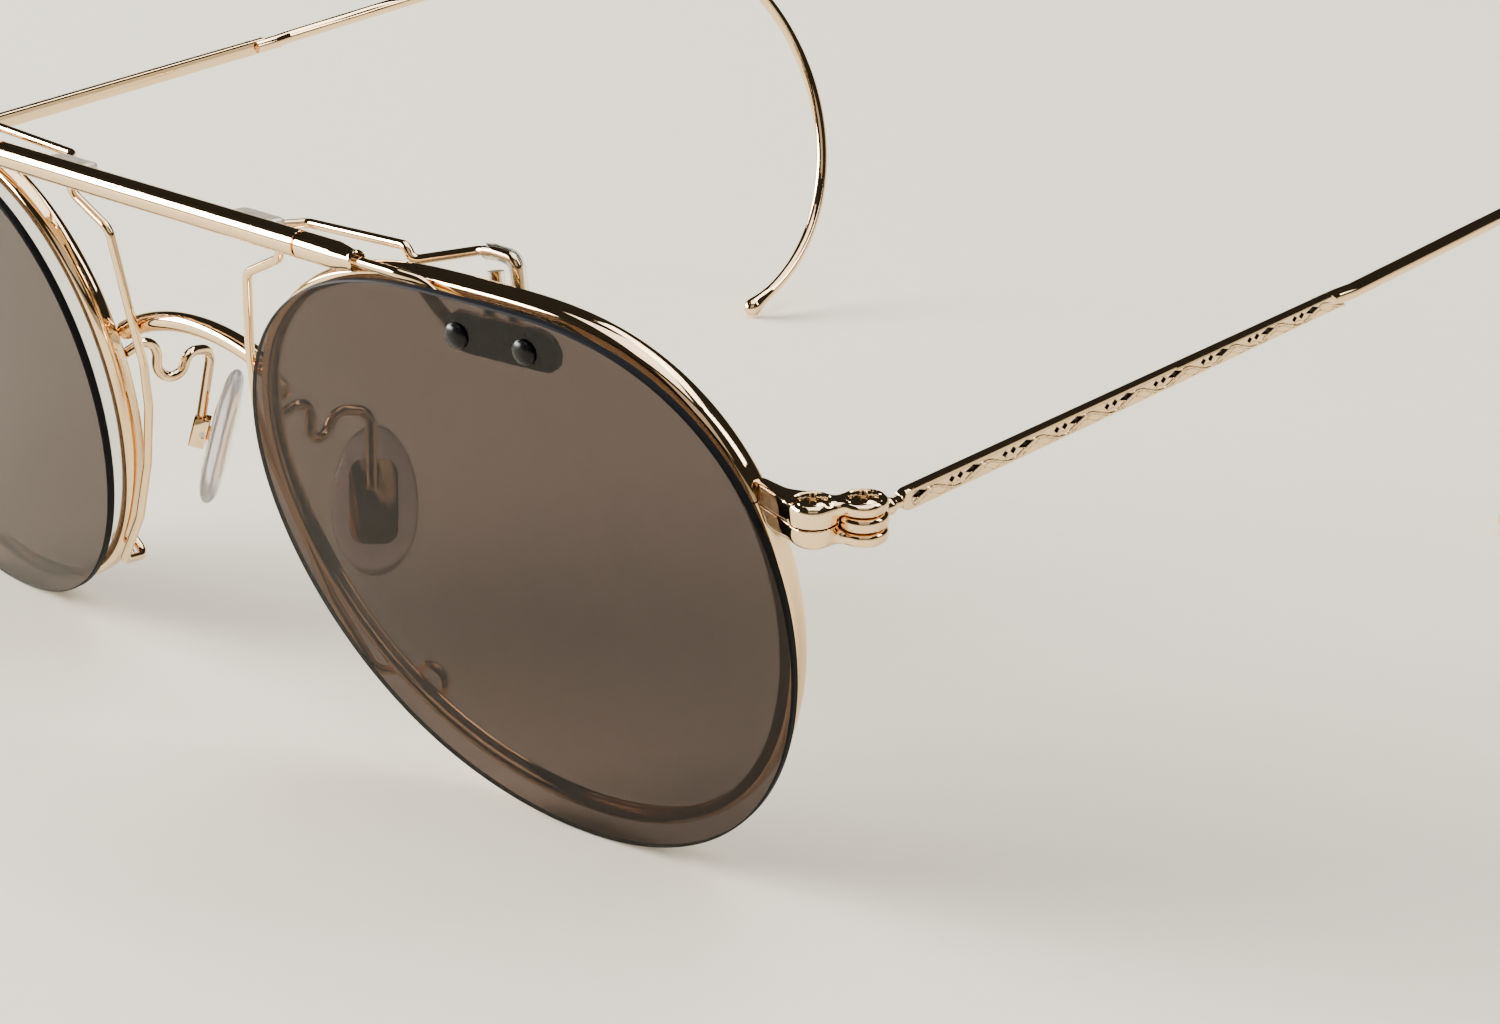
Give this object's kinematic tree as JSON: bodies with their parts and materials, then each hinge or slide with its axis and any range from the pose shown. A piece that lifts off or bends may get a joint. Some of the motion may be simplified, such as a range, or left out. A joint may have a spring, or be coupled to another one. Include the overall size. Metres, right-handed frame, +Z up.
{
  "type": "flip up sunglasses",
  "caption": "Gold wire spectacles with curled cable temples, nose pads on arms and a clip whose brown lenses flip up about a barrel above the bridge.",
  "frame": {"origin": "on the table under the middle of the open glasses", "axes": "+X to the wearer's left, +Y from the lenses back to the ears, +Z up"},
  "size_m": [0.1336, 0.1316, 0.0446],
  "materials": {
    "gold": "polished pale gold plating",
    "clear_lens": "clear",
    "brown_lens": "brown tint, polished",
    "pad_silicone": "translucent white",
    "clear_tube": "clear soft tube",
    "steel": "plated",
    "black_rivet": "black gloss"
  },
  "bodies": {
    "frame": {"rim_left": "gold", "rim_right": "gold", "end_piece_upper_left": "gold", "end_piece_upper_right": "gold", "end_piece_lower_left": "gold", "end_piece_lower_right": "gold", "pad_arm_left": "gold", "pad_arm_right": "gold", "pad_box_left": "gold", "pad_box_right": "gold", "clip_lug_left": "gold", "clip_lug_right": "gold", "clip_wire_left": "gold", "clip_wire_right": "gold", "nasal_wire_left": "gold", "nasal_wire_right": "gold", "eye_lens_left": "clear_lens", "eye_lens_right": "clear_lens", "clip_sleeve_left": "clear_tube", "clip_sleeve_right": "clear_tube", "lock_screw_left": "steel", "lock_screw_right": "steel", "hinge_screw_left": "steel", "hinge_screw_right": "steel", "pad_pin_left": "steel", "pad_pin_right": "steel", "bridge": "gold", "clip_barrel": "gold", "friction_sleeve": "steel"},
    "flip": {"flip_shaft": "steel", "ferrule_left": "gold", "ferrule_right": "gold", "lens_wire_left": "gold", "lens_wire_right": "gold", "lens_plate_left": "gold", "lens_plate_right": "gold", "lens_rivets_left": "black_rivet", "lens_rivets_right": "black_rivet", "sun_lens_left": "brown_lens", "sun_lens_right": "brown_lens"},
    "temple_left": {"temple_bar_left": "gold", "temple_wire_left": "gold", "ear_tip_left": "gold"},
    "pad_left": {"nose_pad_left": "pad_silicone", "pad_insert_left": "steel"},
    "temple_right": {"temple_bar_right": "gold", "temple_wire_right": "gold", "ear_tip_right": "gold"},
    "pad_right": {"nose_pad_right": "pad_silicone", "pad_insert_right": "steel"}
  },
  "joints": [
    {"name": "lens_flip", "type": "hinge", "parent": "frame", "child": "flip", "pos_m": [0, -0.06468, 0.04318], "axis": [-1, 0, 0], "range_deg": [0, 105]},
    {"name": "temple_fold_left", "type": "hinge", "parent": "frame", "child": "temple_left", "pos_m": [0.06498, -0.05482, 0.03165], "axis": [0.0523, -0.0853, 0.995], "range_deg": [0, 78]},
    {"name": "temple_fold_right", "type": "hinge", "parent": "frame", "child": "temple_right", "pos_m": [-0.06498, -0.05482, 0.03165], "axis": [0.0523, 0.0853, -0.995], "range_deg": [0, 66]},
    {"name": "pad_rock_left", "type": "hinge", "parent": "frame", "child": "pad_left", "pos_m": [0.01139, -0.0524, 0.01912], "axis": [0.7071, 0.7071, 0], "range_deg": [-8, 8]},
    {"name": "pad_rock_right", "type": "hinge", "parent": "frame", "child": "pad_right", "pos_m": [-0.01139, -0.0524, 0.01912], "axis": [0.7071, -0.7071, 0], "range_deg": [-8, 8]}
  ]
}
